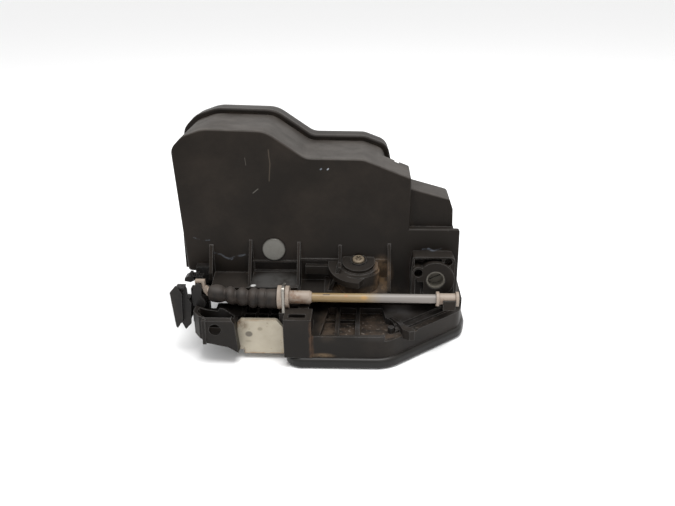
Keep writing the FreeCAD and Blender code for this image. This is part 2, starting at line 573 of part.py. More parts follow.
def pawl():
    """Steel pawl with its tooth, tail and lifting pin."""
    pts = [(-12.6, -19.55), (-10.0, -19.98), (-7.3, -20.27), (-6.4, -23.8), (10.0, -22.6),
           (19.0, -19.4), (22.0, -17.6), (29.4, -3.4), (35.4, -3.0), (36.2, -7.4), (31.0, -22.0),
           (31.4, -26.4), (29.0, -30.0), (24.7, -31.2), (12.0, -30.4), (-11.0, -29.6),
           (-12.6, -27.4)]
    shape = prism(pts, "XY", FORK_Z, FORK_Z + FORK_T)
    shape = join([shape, cyl(33.0, -6.0, FORK_Z, 2.0, 17.4, "Z")])
    shape = cut(shape, [cyl(PAWL_X, PAWL_Y, 0.0, PAWL_PIN_R + RUN, 20.0, "Z")])
    return single(shape)


def fork_pin():
    """Riveted pin of the fork, tying plate, frame and back plate."""
    return join([cyl(FORK_X, FORK_Y, 0.0, FORK_PIN_R, 22.0, "Z"),
                 cyl(FORK_X, FORK_Y, 0.0, FORK_PIN_R + 1.6, 1.2, "Z"),
                 cyl(FORK_X, FORK_Y, 20.2, FORK_PIN_R + 1.4, 1.8, "Z")])


def pawl_pin():
    """Pin of the pawl, its head sunk in the plate."""
    return join([cyl(PAWL_X, PAWL_Y, 0.0, PAWL_PIN_R, 13.4, "Z"),
                 cyl(PAWL_X, PAWL_Y, 0.0, PAWL_PIN_R + 1.6, 1.2, "Z")])


def fork_spring():
    """Coil that swings the fork open."""
    return coil(FORK_X, FORK_Y, 10.5, 8.0, 1.3, 1.0, 1.4)


def pawl_spring():
    """Coil that presses the pawl to the fork."""
    return coil(PAWL_X, PAWL_Y, 10.0, 5.6, 1.1, 1.0, 1.5)


def slot_buffer():
    """Rubber buffer at the end of the striker slot."""
    return box(6.4, 15.4, -10.2, -5.4, 9.2, 13.2)


def outside_release_lever():
    """Hooked lever on the cable, with its shaft and the tail inside the housing."""
    arm = prism([(-87.0, 25.0, 1), (-87.1, 31.6, 2), (-85.9, 35.4, 1.5), (-84.7, 37.5, 0.8),
                 (-81.8, 37.4, 0.8), (-81.5, 35.8, 0.8), (-82.1, 30.4, 2), (-80.2, 27.6, 1.5),
                 (-80.4, 24.4, 1.5), (-84.0, 23.4, 1.5)], "XZ", -36.4, -35.1)
    hub = cyl(LEVER_X, -35.2, LEVER_Z, 2.9, 4.6, "Y")
    shaft = cyl(LEVER_X, -35.4, LEVER_Z, SHAFT_R, 26.4, "Y")
    tail = prism([(LEVER_X - 2.3, LEVER_Z + 2.2, 1.6), (LEVER_X + 2.3, LEVER_Z + 2.2, 1.6),
                  (LEVER_X + 3.9, LEVER_Z - 6.9, 1.2), (LEVER_X + 1.0, LEVER_Z - 6.9, 1.2)],
                 "XZ", -11.4, -9.0)
    peg = cyl(LEVER_X + LEVER_PEG_X, -9.5, LEVER_Z - LEVER_PEG_Z, 1.2, 4.5, "Y")
    eye_peg = cyl(LEVER_X - 0.2, -35.4, LEVER_Z + LEVER_ARM, 1.2, 3.8, "Y")
    return single(join([arm, hub, shaft, tail, peg, eye_peg]))


def release_slide():
    """Bar that carries the levers' travel to the pawl."""
    peg_x = LEVER_X + LEVER_PEG_X
    bar = box(-83.6, 36.6, -8.6, -3.0, 18.5, 20.5)
    riser = box(-83.6, -77.0, -8.6, -5.4, 18.5, 24.8)
    riser2 = box(-66.5, -57.5, -8.6, -5.6, 18.5, 30.0)
    pad = box(26.6, 38.6, -10.6, -1.2, 18.5, 20.5)
    shape = join([bar, riser, riser2, pad])
    cuts = [box(peg_x - 1.5, peg_x + 1.5, -9.0, -2.0, 17.0, 23.0),
            box(-63.3, -60.7, -9.0, -5.0, 24.6, 28.8),
            box(30.7, 35.3, -9.2, -2.6, 17.0, 22.0)]
    shape = cut(shape, cuts)
    return single(shape)


def inside_release_lever():
    """Lever of the inside handle, on a shaft through the back."""
    shaft = cyl(-62.0, -5.2, 37.0, 3.0, 53.0, "Y")
    inner = prism([(-65.2, 40.0, 2), (-58.8, 40.0, 2), (-59.8, 25.0, 1.6), (-64.2, 25.0, 1.6)],
                  "XZ", -5.2, -3.2)
    peg = cyl(-62.0, -8.4, 26.6, 1.2, 4.0, "Y")
    outer = prism([(-66.0, 41.0, 3), (-58.0, 41.0, 3), (-58.6, 15.0, 2.5), (-65.4, 15.0, 2.5)],
                  "XZ", 44.8, 47.8)
    shape = join([shaft, inner, peg, outer])
    shape = cut(shape, [cyl(-62.0, 44.0, 19.0, 1.8, 5.0, "Y"), box(-62.5, -61.5, 44.0, 49.0, 12.0, 19.0)])
    return single(shape)


def key_rotor():
    """Cup that the key cylinder's rod turns, with its stem and arm."""
    body = cyl(KEY_X, -25.4, KEY_Z, KEY_R - RUN, 7.6, "Y")
    body = cut(body, [cyl(KEY_X, -26.0, KEY_Z, 4.2, 6.4, "Y")])
    stem = cyl(KEY_X, -18.0, KEY_Z, SHAFT_R, 17.0, "Y")
    arm = prism([(KEY_X - 2.8, KEY_Z + 4.0, 2.4), (KEY_X + 2.8, KEY_Z + 4.0, 2.4),
                 (KEY_X + 1.6, KEY_Z - 12.0, 1.5), (KEY_X - 1.6, KEY_Z - 12.0, 1.5)],
                "XZ", -3.6, -1.6)
    slot = turned(box(KEY_X - 3.6, KEY_X + 3.6, -21.0, -18.6, KEY_Z - 0.9, KEY_Z + 0.9),
                  (KEY_X, 0.0, KEY_Z), (0, 1, 0), -25.0)
    return single(cut(join([body, stem, arm]), [slot]))


def fin_clip():
    """Twin-finned clip for the door panel, on the lever's lug."""
    fin_a = prism([(-97.6, 34.5), (-94.6, 38.0), (-92.9, 38.0), (-93.3, 16.2), (-95.0, 13.6),
                   (-95.8, 14.6)], "XZ", -41.0, -39.6)
    fin_b = prism([(-94.0, 36.0), (-92.0, 37.4), (-89.9, 37.0), (-89.2, 35.4), (-89.0, 30.3),
                   (-87.3, 27.2), (-88.4, 14.8), (-91.4, 11.6), (-93.0, 15.4)], "XZ", -38.4, -37.0)
    spine = prism([(-95.4, 35.0), (-92.8, 36.4), (-91.2, 34.0), (-92.0, 17.0), (-93.4, 16.4)],
                  "XZ", -41.0, -37.0)
    flange = box(-94.4, -90.0, -40.0, -35.4, 36.2, 37.2)
    web = box(-91.4, -89.0, -38.4, -28.6, 16.0, 28.0)
    return single(join([fin_a, fin_b, spine, flange, web]))


def cover_clip():
    """Small pronged wire clip at the lower left of the cover."""
    body = prism([(-93.7, 33.6), (-93.4, 35.4), (-91.6, 36.4), (-83.6, 36.4), (-83.6, 34.6),
                  (-87.0, 34.6), (-90.4, 32.9)], "XZ", -24.0, -18.0)
    prongs = [box(-90.4, -88.9, -24.0, -21.0, 36.0, 38.6), box(-87.0, -85.6, -24.0, -21.0, 36.0, 38.2),
              box(-88.0, -81.0, -19.6, FACE_Y, 35.6, 40.2)]
    shape = join([body] + prongs)
    return cut(shape, [cyl(-88.0, -26.0, 35.4, 0.8, 9.0, "Y")])


def cable_conduit():
    """Plastic conduit from the ferrule to the right end of the housing."""
    x0 = -26.0
    shape = cyl(x0, CABLE_Y, CABLE_Z, CONDUIT_R, 54.6 - x0, "X")
    return cut(shape, [cyl(x0 - 1, CABLE_Y, CABLE_Z, 1.0, 90.0, "X")])


def cable_ferrule():
    """Moulded end of the conduit with its two collars."""
    parts = [cyl(-37.2, CABLE_Y, CABLE_Z, 3.6, 12.9, "X"),
             cone(-24.3, CABLE_Y, CABLE_Z, 3.6, 2.9, 1.3, "X"),
             cyl(-41.2, CABLE_Y, CABLE_Z, 6.3, 2.6, "X"),
             cyl(-37.0, CABLE_Y, CABLE_Z, 6.1, 2.0, "X"),
             cyl(-39.0, CABLE_Y, CABLE_Z, 3.6, 3.0, "X"),
             cyl(-45.0, CABLE_Y, CABLE_Z, 3.3, 4.4, "X")]
    shape = join(parts)
    return cut(shape, [cyl(-46.0, CABLE_Y, CABLE_Z, 1.7, 24.0, "X"),
                       cyl(-26.0, CABLE_Y, CABLE_Z, CONDUIT_R, 5.0, "X")])


def cable_bracket():
    """Sprung steel plate that holds the ferrule."""
    plate = prism([(-40.2, 17.0, 1), (-40.2, 37.0, 2), (-36.6, 37.6), (-36.6, 33.0), (-31.4, 33.0),
                   (-31.4, 36.0), (-27.8, 35.6, 1.5), (-27.8, 17.0, 1)], "YZ", -38.5, -37.1)
    return cut(plate, [cyl(-40.0, CABLE_Y, CABLE_Z, 3.65, 5.0, "X"),
                       box(-40.0, -36.0, CABLE_Y - 2.6, CABLE_Y + 2.6, CABLE_Z, 40.0)])


def boot_shape():
    """Convoluted rubber boot between the ferrule and the lever."""
    outer = [(0.0, 5.2), (5.6, 5.3), (6.4, 4.6), (7.2, 5.3), (10.6, 5.5), (12.2, 4.1), (13.8, 5.6),
             (17.0, 5.3), (19.2, 3.8), (21.4, 5.2), (23.8, 4.8), (25.8, 3.7), (27.8, 4.8),
             (29.6, 4.6), (31.0, 3.8), (32.6, 4.7)]
    inner = [(d, max(r - 0.9, 2.9)) for d, r in outer]
    inner[-1] = (32.6, 4.1)
    points = [V(-41.8 - d, 0, r) for d, r in outer] + [V(-41.8 - d, 0, r) for d, r in reversed(inner)]
    points.append(points[0])
    face = Part.Face(Part.makePolygon(points))
    shape = face.revolve(V(0, 0, 0), V(1, 0, 0), 360)
    shape.translate(V(0, CABLE_Y, CABLE_Z))
    return turned(shape, (-41.8, CABLE_Y, CABLE_Z), (0, 1, 0), 5.2)


def cable_wire():
    """Inner wire with the moulded eye that hangs on the lever."""
    end = V(-79.2, CABLE_Y, 33.0)
    bend = V(-42.0, CABLE_Y, CABLE_Z)
    way = bend - end
    eye = box(-85.3, -80.2, -34.8, -32.0, 34.4, 38.8)
    eye = cut(eye, [box(-84.6, -81.8, -35.0, -30.0, 33.0, 37.6)])
    sleeve = prism([(-81.6, 35.4), (-79.6, 35.4), (-78.5, 34.6), (-78.1, 31.0), (-79.1, 29.8),
                    (-81.0, 32.6)], "XZ", -34.9, -32.6)
    return join([Part.makeCylinder(0.8, way.Length, end, way), Part.makeSphere(0.8, bend),
                 cyl(-42.0, CABLE_Y, CABLE_Z, 0.8, 18.0, "X"),
                 Part.makeCylinder(1.8, 4.4, end, way), eye, sleeve])


def conduit_end():
    """Fitting on the far end of the conduit, with a collar at each end."""
    shape = join([cyl(43.0, CABLE_Y, CABLE_Z, CONDUIT_R + 0.6, 11.9, "X"),
                  cyl(43.0, CABLE_Y, CABLE_Z, 3.9, 1.6, "X"),
                  cyl(53.3, CABLE_Y, CABLE_Z, 3.9, 1.6, "X")])
    return cut(shape, [cyl(40.0, CABLE_Y, CABLE_Z, CONDUIT_R, 20.0, "X")])


def cover_rivet():
    """Flat rivet head on the cover face, with its shank."""
    head = cyl(-45.0, FACE_Y - 1.3, 49.0, 6.35, 1.3, "Y")
    head = head.makeFillet(0.5, [e for e in head.Edges if flat_at(e, "Y", FACE_Y - 1.3)])
    return join([head, cyl(-45.0, FACE_Y - 0.2, 49.0, 3.0, 5.6, "Y")])


def boss_screw():
    """Screw in the stepped boss."""
    head = cyl(0.0, 0.0, -1.2, 3.3, 2.0, "Z")
    head = head.makeFillet(0.8, [e for e in head.Edges if flat_at(e, "Z", 0.8)])
    star = [box(-1.9, 1.9, -0.4, 0.4, 0.0, 2.0)]
    star += [turned(star[0], (0, 0, 0), (0, 0, 1), a) for a in (60, 120)]
    return boss_at(join([head.cut(Part.makeCompound(star)), cyl(0.0, 0.0, -11.0, 2.0, 10.2, "Z")]))


def housing_screws():
    """Screws that hold the back to the cover's posts."""
    solids = []
    for x, z in COVER_POSTS:
        solids.append(join([cyl(x, BACK_Y, z, 4.0, 2.2, "Y"), cyl(x, 30.0, z, 1.5, 13.2, "Y")]))
    return solids


def motor(x0, x1, y, z):
    """Small motor with flats, its shaft along X."""
    can = cyl(x0, y, z, 10.0, x1 - x0, "X").common(box(x0, x1, y - 7.6, y + 7.6, z - 12, z + 12))
    return join([can, cyl(x1, y, z, 3.0, 1.6, "X"), cyl(x0 - 1.4, y, z, 3.0, 1.4, "X"),
                 cyl(x1, y, z, MOTOR_SHAFT_R, 6.0, "X")])


def drive(cx, cz, y, teeth):
    """Worm, wheel and the motor's height for one drive, as a dictionary."""
    wheel_r = WORM_MODULE * teeth / 2.0
    top = cz + wheel_r + 3.6
    return {"r": wheel_r, "z": top, "y": y, "x": cx}


def lock_wheel():
    """Worm wheel of the lock drive, with its pinion."""
    d = drive(-36.0, 66.0, 12.0, WHEEL_TEETH)
    wheel = gear(d["x"], 66.0, 9.8, 14.2, WORM_MODULE, WHEEL_TEETH, 0.7, 1.0, 0.5, math.pi / 2.0)
    pinion = gear(d["x"], 66.0, 14.0, 21.0, 1.0, PINION_TEETH, 0.8, 1.1, 0.25, -math.pi / 2.0)
    shape = join([wheel, pinion])
    return single(cut(shape, [cyl(d["x"], 0.0, 66.0, 2.0 + RUN, 40.0, "Y")]))


def lock_worm():
    """Worm of the lock drive."""
    d = drive(-36.0, 66.0, 12.0, WHEEL_TEETH)
    lead = math.pi * WORM_MODULE
    shape = worm(-36.0 - 3.5 * lead, 7.0 * lead, d["y"], d["z"], 2.7, 4.3, lead, 1.1, 0.0)
    return single(cut(shape, [cyl(-70.0, d["y"], d["z"], MOTOR_SHAFT_R + RUN, 80.0, "X")]))


def lock_lever():
    """Lock lever with the toothed sector."""
    r = SECTOR_TEETH / 2.0
    cz = 66.0 - 7.0 - r
    teeth = gear(-36.0, cz, 15.0, 20.0, 1.0, SECTOR_TEETH, 0.8, 1.1, 0.25,
                 math.pi / 2.0 + math.pi / SECTOR_TEETH)
    wedge = prism([(-36.0, cz - 4.0), (-36.0 - 19.0, cz + 24.0), (-36.0 + 19.0, cz + 24.0)],
                  "XZ", 14.0, 21.0)
    sector = teeth.common(wedge)
    hub = cyl(-36.0, 15.0, cz, 5.0, 5.0, "Y")
    arm = prism([(-39.0, cz + 2.0), (-33.0, cz + 2.0), (-12.0, cz - 8.0, 2), (-14.0, cz - 12.0, 2)],
                "XZ", 15.0, 18.0)
    shape = join([sector, hub, arm])
    return single(cut(shape, [cyl(-36.0, 0.0, cz, 2.0 + RUN, 40.0, "Y")]))


def gear_pins():
    """Steel pins that the wheels and the lock lever turn on."""
    solids = []
    for x, z in [(-36.0, 66.0), (-36.0, 66.0 - 7.0 - SECTOR_TEETH / 2.0)]:
        solids.append(cyl(x, FACE_Y + WALL, z, 2.0, BACK_Y - FACE_Y - 2.0 * WALL, "Y"))
    return solids


def switch(x, y, z, size, way):
    """Microswitch with its plunger."""
    body = box(x, x + size[0], y, y + size[1], z, z + size[2])
    if way == "Y":
        knob = cyl(x + size[0] / 2.0, y + size[1], z + size[2] / 2.0, 1.0, 0.9, "Y")
    else:
        knob = cyl(x + size[0] / 2.0, y + size[1] / 2.0, z + size[2], 1.0, 0.9, "Z")
    return join([body, knob])


def lead_frame():
    """Stamped contact strips from the plug to the motors."""
    solids = []
    for i in range(3):
        z = 65.5 + 2.6 * i
        x1 = -6.0 - 6.0 * i
        run = join([box(x1, 26.8, 6.4, 7.0, z, z + 1.4), box(x1, x1 + 1.4, 6.4, 7.0, z, 96.0 - i),
                    box(x1, x1 + 1.4, 6.4, 12.0 + i, 95.0 - i, 96.0 - i)])
        solids.append(run)
    return solids


def plug_pins():
    """Contact pins in the socket."""
    solids = []
    for row in range(3):
        for k in range(4):
            y = -4.6 + 3.4 * k
            z = 65.5 + 2.6 * row
            solids.append(box(26.8, 42.0, y, y + 0.8, z, z + 0.8))
    return solids


def save(name, shape):
    """Write one node as a STEP file."""
    if isinstance(shape, list):
        shape = Part.makeCompound(shape)
    if not shape.isValid():
        print("invalid", name)
    shape.exportStep("parts/" + name + ".step")


MAKERS = {
    "front_cover": front_cover, "rear_housing": rear_housing, "latch_frame": latch_frame,
    "side_bracket": side_bracket,
    "perimeter_seal": perimeter_seal, "latch_plate": latch_plate, "back_plate": back_plate,
    "fork": fork, "fork_lining": fork_lining, "fork_peg": fork_peg, "pawl": pawl,
    "fork_pin": fork_pin, "pawl_pin": pawl_pin, "fork_spring": fork_spring,
    "pawl_spring": pawl_spring, "slot_buffer": slot_buffer,
    "outside_release_lever": outside_release_lever, "release_slide": release_slide,
    "inside_release_lever": inside_release_lever, "key_rotor": key_rotor, "fin_clip": fin_clip,
    "cover_clip": cover_clip, "cable_conduit": cable_conduit, "cable_ferrule": cable_ferrule,
    "cable_bracket": cable_bracket, "cable_boot": boot_shape, "cable_wire": cable_wire,
    "conduit_end": conduit_end, "cover_rivet": cover_rivet, "boss_screw": boss_screw,
    "housing_screws": housing_screws, "lock_wheel": lock_wheel, "lock_worm": lock_worm,
    "lock_lever": lock_lever, "gear_pins": gear_pins, "lead_frame": lead_frame, "plug_pins": plug_pins,
}

for name, maker in MAKERS.items():
    save(name, maker())

save("lock_motor", motor(-84.5, -55.0, 12.0, 66.0 + WORM_MODULE * WHEEL_TEETH / 2.0 + 3.6))
save("fork_switch", switch(-33.0, -31.5, 3.4, (5.8, 12.6, 6.0), "Y"))
save("lock_switch", switch(-24.0, BACK_Y - WALL - 6.0, 40.0, (12.8, 6.0, 6.6), "Z"))
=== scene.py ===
import json
import math
import random

import bmesh
import bpy
from mathutils import Matrix, Vector


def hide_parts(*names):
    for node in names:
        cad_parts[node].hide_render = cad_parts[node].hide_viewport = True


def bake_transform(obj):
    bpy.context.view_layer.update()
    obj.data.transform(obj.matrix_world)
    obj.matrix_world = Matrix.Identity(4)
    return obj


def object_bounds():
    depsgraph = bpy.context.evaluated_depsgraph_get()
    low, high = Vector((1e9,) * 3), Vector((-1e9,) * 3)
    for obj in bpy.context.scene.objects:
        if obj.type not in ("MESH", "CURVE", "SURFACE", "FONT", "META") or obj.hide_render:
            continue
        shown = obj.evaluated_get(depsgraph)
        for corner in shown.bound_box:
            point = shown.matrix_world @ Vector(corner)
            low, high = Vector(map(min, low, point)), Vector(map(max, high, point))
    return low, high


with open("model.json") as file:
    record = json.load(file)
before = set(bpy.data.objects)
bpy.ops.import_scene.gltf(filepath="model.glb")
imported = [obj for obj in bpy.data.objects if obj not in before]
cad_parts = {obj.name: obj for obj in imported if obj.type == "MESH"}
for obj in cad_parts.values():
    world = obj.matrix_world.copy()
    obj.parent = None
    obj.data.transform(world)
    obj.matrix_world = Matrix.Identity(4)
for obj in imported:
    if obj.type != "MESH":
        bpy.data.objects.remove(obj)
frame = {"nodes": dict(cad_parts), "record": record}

CAD_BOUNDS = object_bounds()
MM = 0.001
SCENE = bpy.context.scene

# Camera at the photograph's viewing angle
FOCAL_PX = 725.0
FRAME_PX = 675.0
SENSOR_MM = 36.0
MM_PER_PX = 0.55
ELEVATION = math.radians(22.5)
AZIMUTH = math.radians(2.5)
ROLL = math.radians(-0.4)
TARGET = Vector((-10.0, -14.0, 47.0)) * MM
DISTANCE = MM_PER_PX * FOCAL_PX * MM
CLIP_START = 0.01
CLIP_END = 20.0

# Stage, in metres
WORLD_LIGHT = 0.95
FLOOR_SIDE = 6.0
FLOOR_GAP = 0.0002
FLOOR_GREY = 0.93

# Settings of shader nodes
NODE_SAMPLES = 4
WOBBLE_SCALE = 180.0

# Planes that marks lie on, and the plane of the cable, in mm
COVER_Y = -14.0
CABLE_Y = -34.0
FLANGE_Y = -43.0
SHELF_Y = -52.0

# Colours that several materials share
DUST = (0.085, 0.062, 0.044)
PALE = (0.16, 0.155, 0.15)
BLUE = (0.13, 0.145, 0.17)


def add_camera():
    """Camera that looks at the cover's face as the photograph does."""
    back = Vector((math.sin(AZIMUTH) * math.cos(ELEVATION),
                   -math.cos(AZIMUTH) * math.cos(ELEVATION), math.sin(ELEVATION)))
    level = Vector((math.cos(AZIMUTH), math.sin(AZIMUTH), 0.0))
    rise = level.cross(-back)
    right = level * math.cos(ROLL) + rise * math.sin(ROLL)
    up = rise * math.cos(ROLL) - level * math.sin(ROLL)
    data = bpy.data.cameras.new("photo_camera")
    data.sensor_width = SENSOR_MM
    data.lens = FOCAL_PX / FRAME_PX * SENSOR_MM
    data.clip_start = CLIP_START
    data.clip_end = CLIP_END
    camera = bpy.data.objects.new("photo_camera", data)
    turn = Matrix((right, up, back)).transposed().to_4x4()
    camera.matrix_world = Matrix.Translation(TARGET + back * DISTANCE) @ turn
    SCENE.collection.objects.link(camera)
    SCENE.camera = camera


def add_lamp(name, place, aim, size, power):
    """Soft round light, in metres and watts."""
    data = bpy.data.lights.new(name, "AREA")
    data.shape = "DISK"
    data.size = size
    data.energy = power
    lamp = bpy.data.objects.new(name, data)
    lamp.location = place
    lamp.rotation_euler = (Vector(aim) - Vector(place)).to_track_quat("-Z", "Y").to_euler()
    SCENE.collection.objects.link(lamp)


def add_stage():
    """White surroundings, pale floor and one soft light from above."""
    world = bpy.data.worlds.new("studio")
    SCENE.world = world
    world.use_nodes = True
    background = world.node_tree.nodes["Background"]
    background.inputs["Color"].default_value = (1.0, 1.0, 1.0, 1.0)
    background.inputs["Strength"].default_value = WORLD_LIGHT
    side = FLOOR_SIDE
    low = CAD_BOUNDS[0][2] - FLOOR_GAP
    mesh = bpy.data.meshes.new("floor")
    mesh.from_pydata([(-side, -side, low), (side, -side, low), (side, side, low),
                      (-side, side, low)], [], [(0, 1, 2, 3)])
    floor = bpy.data.objects.new("floor", mesh)
    SCENE.collection.objects.link(floor)
    paper = bpy.data.materials.new("floor_paper")
    paper.use_nodes = True
    bsdf = paper.node_tree.nodes["Principled BSDF"]
    bsdf.inputs["Base Color"].default_value = (FLOOR_GREY, FLOOR_GREY, FLOOR_GREY, 1.0)
    bsdf.inputs["Roughness"].default_value = 0.9
    mesh.materials.append(paper)
    add_lamp("key_top", place=(0.1, -0.15, 0.9), aim=(0.0, 0.0, 0.05), size=0.7, power=9.0)


SCENE.view_settings.view_transform = "Standard"
add_camera()
add_stage()


class Tree:
    """Shorthand for building a node material. Masks run from 0 to 1."""

    def __init__(self, name):
        self.mat = bpy.data.materials.new(name)
        self.mat.use_nodes = True
        self.nodes = self.mat.node_tree.nodes
        self.bsdf = self.nodes["Principled BSDF"]
        self.place = self.nodes.new("ShaderNodeTexCoord").outputs["Object"]
        self.normal = self.nodes.new("ShaderNodeNewGeometry").outputs["Normal"]

    def link(self, output, socket):
        """Join an output to an input."""
        self.mat.node_tree.links.new(output, socket)

    def value(self, node, key, v):
        """Set an input to a number, a vector or an output."""
        if isinstance(v, bpy.types.NodeSocket):
            self.link(v, node.inputs[key])
        else:
            node.inputs[key].default_value = v

    def math(self, op, a, b, clamp=False):
        """Result of a math node."""
        n = self.nodes.new("ShaderNodeMath")
        n.operation = op
        n.use_clamp = clamp
        self.value(n, 0, a)
        self.value(n, 1, b)
        return n.outputs[0]

    def vector(self, op, a, b=None, scale=None):
        """Result of a vector math node: a number for a length or a dot product."""
        n = self.nodes.new("ShaderNodeVectorMath")
        n.operation = op
        self.value(n, 0, a)
        if b is not None:
            self.value(n, 1, b)
        if scale is not None:
            self.value(n, "Scale", scale)
        return n.outputs["Value" if op in ("LENGTH", "DOT_PRODUCT") else "Vector"]

    def axis(self, k, vector=None):
        """One coordinate of the place in the object, or of a vector."""
        n = self.nodes.new("ShaderNodeSeparateXYZ")
        self.link(vector or self.place, n.inputs[0])
        return n.outputs[k]

    def stretch(self, scale):
        """Place in the object, scaled along its axes."""
        n = self.nodes.new("ShaderNodeMapping")
        n.inputs["Scale"].default_value = scale
        self.link(self.place, n.inputs["Vector"])
        return n.outputs["Vector"]

    def noise(self, scale, detail=4.0, rough=0.6, vector=None):
        """Noise value over the object."""
        n = self.nodes.new("ShaderNodeTexNoise")
        self.value(n, "Scale", scale)
        self.value(n, "Detail", detail)
        self.value(n, "Roughness", rough)
        self.link(vector or self.place, n.inputs["Vector"])
        return n.outputs["Fac"]

    def ramp(self, fac, low, high, a=0.0, b=1.0):
        """Value mapped smoothly from low..high to a..b."""
        n = self.nodes.new("ShaderNodeMapRange")
        n.interpolation_type = "SMOOTHSTEP"
        self.value(n, "Value", fac)
        self.value(n, "From Min", low)
        self.value(n, "From Max", high)
        self.value(n, "To Min", a)
        self.value(n, "To Max", b)
        return n.outputs["Result"]

    def patches(self, scale, detail, rough, low, high, a=0.0, b=1.0):
        """Noise with its range spread by a ramp."""
        return self.ramp(self.noise(scale, detail, rough), low, high, a, b)

    def mix(self, fac, a, b):
        """Mix of two colours, each a triple or an output."""
        n = self.nodes.new("ShaderNodeMix")
        n.data_type = "RGBA"
        self.value(n, "Factor", fac)
        for socket, v in zip([s for s in n.inputs if s.type == "RGBA"], (a, b)):
            if isinstance(v, bpy.types.NodeSocket):
                self.link(v, socket)
            else:
                socket.default_value = (*v, 1.0)
        return [s for s in n.outputs if s.type == "RGBA"][0]

    def layer(self, colour, *pairs):
        """Colour with further colours laid over it, each with its mask."""
        for mask, over in pairs:
            colour = self.mix(mask, colour, over)
        return colour

    def fold(self, op, masks):
        """Masks joined one after another by a math operation."""
        out = masks[0]
        for mask in masks[1:]:
            out = self.math(op, out, mask)
        return out

    def times(self, *masks):
        """Product of masks."""
        return self.fold("MULTIPLY", masks)

    def most(self, *masks):
        """Greatest of masks."""
        return self.fold("MAXIMUM", masks)

    def spot(self, centre, size, soft=0.5):
        """Mask that is one inside an ellipsoid, with its half sizes, in mm."""
        rel = self.vector("SUBTRACT", self.place, [c * MM for c in centre])
        rel = self.vector("DIVIDE", rel, [s * MM for s in size])
        return self.ramp(self.vector("LENGTH", rel), 1.0 - soft, 1.0 + soft, 1.0, 0.0)

    def stroke(self, points, width, soft=0.6, wobble=0.0):
        """Mask of a thin line through points, in mm, with an uneven course where it wobbles."""
        place = self.place
        if wobble:
            n = self.nodes.new("ShaderNodeTexNoise")
            self.value(n, "Scale", WOBBLE_SCALE)
            self.link(self.place, n.inputs["Vector"])
            off = self.vector("SUBTRACT", n.outputs["Color"], (0.5, 0.5, 0.5))
            place = self.vector("ADD", place, self.vector("SCALE", off, scale=wobble * MM))
        masks = []
        for a, b in zip(points, points[1:]):
            start = Vector(a) * MM
            run = Vector(b) * MM - start
            rel = self.vector("SUBTRACT", place, tuple(start))
            along = self.vector("DOT_PRODUCT", rel, tuple(run / run.length_squared))
            foot = self.vector("SCALE", tuple(run), scale=self.math("ADD", along, 0.0, clamp=True))
            gap = self.vector("LENGTH", self.vector("SUBTRACT", rel, foot))
            masks.append(self.ramp(gap, width * MM * (1 - soft), width * MM * (1 + soft), 1.0, 0.0))
        return self.most(*masks)

    def bevel(self, radius):
        """Rounded-edge normal."""
        n = self.nodes.new("ShaderNodeBevel")
        n.samples = NODE_SAMPLES
        n.inputs["Radius"].default_value = radius
        return n.outputs["Normal"]

    def edges(self, radius, low=0.02, high=0.18):
        """Mask of the edges, from how far a rounded normal leaves the true one."""
        dot = self.vector("DOT_PRODUCT", self.bevel(radius), self.normal)
        return self.ramp(self.math("SUBTRACT", 1.0, dot), low, high)

    def cavity(self, distance, low=0.35, high=0.85):
        """Mask of corners and recesses."""
        n = self.nodes.new("ShaderNodeAmbientOcclusion")
        n.samples = NODE_SAMPLES
        n.inputs["Distance"].default_value = distance
        return self.ramp(n.outputs["AO"], low, high, 1.0, 0.0)

    def bump(self, height, strength, distance, normal=None):
        """Bumped normal, over the true one or the one given."""
        n = self.nodes.new("ShaderNodeBump")
        n.inputs["Strength"].default_value = strength
        n.inputs["Distance"].default_value = distance
        self.link(height, n.inputs["Height"])
        if normal is not None:
            self.link(normal, n.inputs["Normal"])
        return n.outputs["Normal"]

    def done(self, colour, rough, normal, metal=0.0, spec=0.5):
        """Fill the shader and hand back the material."""
        self.link(colour, self.bsdf.inputs["Base Color"])
        self.value(self.bsdf, "Roughness", rough)
        self.value(self.bsdf, "Metallic", metal)
        self.bsdf.inputs["Specular IOR Level"].default_value = spec
        self.link(normal, self.bsdf.inputs["Normal"])
        return self.mat


def on_plane(y, points):
    """Points given by X and Z, set on the plane at y."""
    return [(x, y, z) for x, z in points]


def base_plastic(t, base, film, corner):
    """Colour of dark moulded plastic: film, top faces lighter with dust and painted light, painted
    shade in recesses, dust in corners, pale edges of wear and painted highlight.
    """
    broad = t.patches(26.0, 5.0, 0.62, 0.4, 0.75)
    blot = t.patches(120.0, 6.0, 0.7, 0.3, 0.75)
    # Upward faces lighter: dust and painted light from above, weaker low down as painted shade
    # under the housing, and weaker towards the rear.
    up = t.times(t.ramp(t.axis(2, t.normal), 0.35, 0.95),
                 t.ramp(t.axis(2), 0.05, 0.09, 0.22, 1.0),
                 t.ramp(t.axis(1), 0.0262, 0.0274, 1.0, 0.3))
    # Pale edges: wear, and a painted highlight along the edges.
    worn_and_lit_edges = t.times(t.edges(0.0005, 0.01, 0.14), t.patches(60.0, 4.0, 0.6, 0.25, 0.6), 0.6)
    return t.layer(
        base,
        (t.times(broad, film), (0.032, 0.024, 0.018)),
        (t.times(up, t.patches(70.0, 6.0, 0.7, 0.25, 0.75, 0.35, 1.0), 0.5),
         (0.115, 0.104, 0.094)),
        # Painted shade: recesses darkened nearly to black.
        (t.times(t.cavity(0.014, 0.3, 0.9), 0.8), (0.0035, 0.003, 0.0027)),
        (t.times(t.cavity(0.004), blot, corner), DUST),
        (worn_and_lit_edges, PALE))


